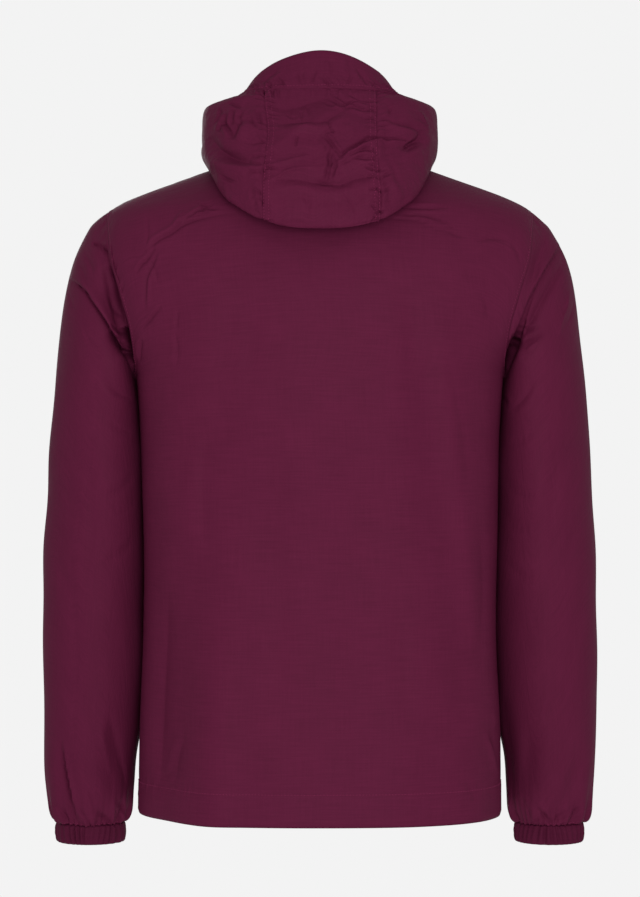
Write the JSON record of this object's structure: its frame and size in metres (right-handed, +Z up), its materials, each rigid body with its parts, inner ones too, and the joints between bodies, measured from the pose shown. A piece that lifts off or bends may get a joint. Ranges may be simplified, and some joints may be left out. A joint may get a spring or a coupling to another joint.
{
  "type": "zip hooded jacket",
  "caption": "Light woven jacket with a full front zip, a hood hanging down at the back, set-in sleeves and gathered elastic cuffs, in the hollow form of a worn garment.",
  "frame": {"origin": "middle of the neck base, between the two points where the shoulder seams meet the neckline, where the jacket hangs on its wearer", "axes": "+Z up, the zip faces -Y, the wearer's left is +X"},
  "size_m": [0.5924, 0.2811, 0.8311],
  "materials": {
    "shell": "fine plain woven nylon in deep burgundy with a soft satin sheen",
    "cuffs": "the same nylon gathered over elastic",
    "tape": "matte woven polyester tape",
    "teeth": "moulded teeth coloured to the tape",
    "slider": "dark gunmetal, lightly glossy"
  },
  "bodies": {
    "jacket": {"back": "shell", "front_left": "shell", "front_right": "shell", "sleeve_left": "shell", "sleeve_right": "shell", "cuff_left": "cuffs", "cuff_right": "cuffs", "hood_centre": "shell", "hood_side_left": "shell", "hood_side_right": "shell", "hood_brim": "shell", "zip_tape_left": "tape", "zip_tape_right": "tape", "zip_chain": "teeth", "zip_box": "slider", "zip_stop_left": "slider", "zip_stop_right": "slider", "zip_slider": "slider"},
    "pull_tab": {"zip_pull": "slider"}
  },
  "joints": [
    {"name": "pull_tab_swing", "type": "hinge", "parent": "jacket", "child": "pull_tab", "pos_m": [0, -0.11679, -0.002], "axis": [-1, 0, 0], "range_deg": [0, 170]}
  ]
}
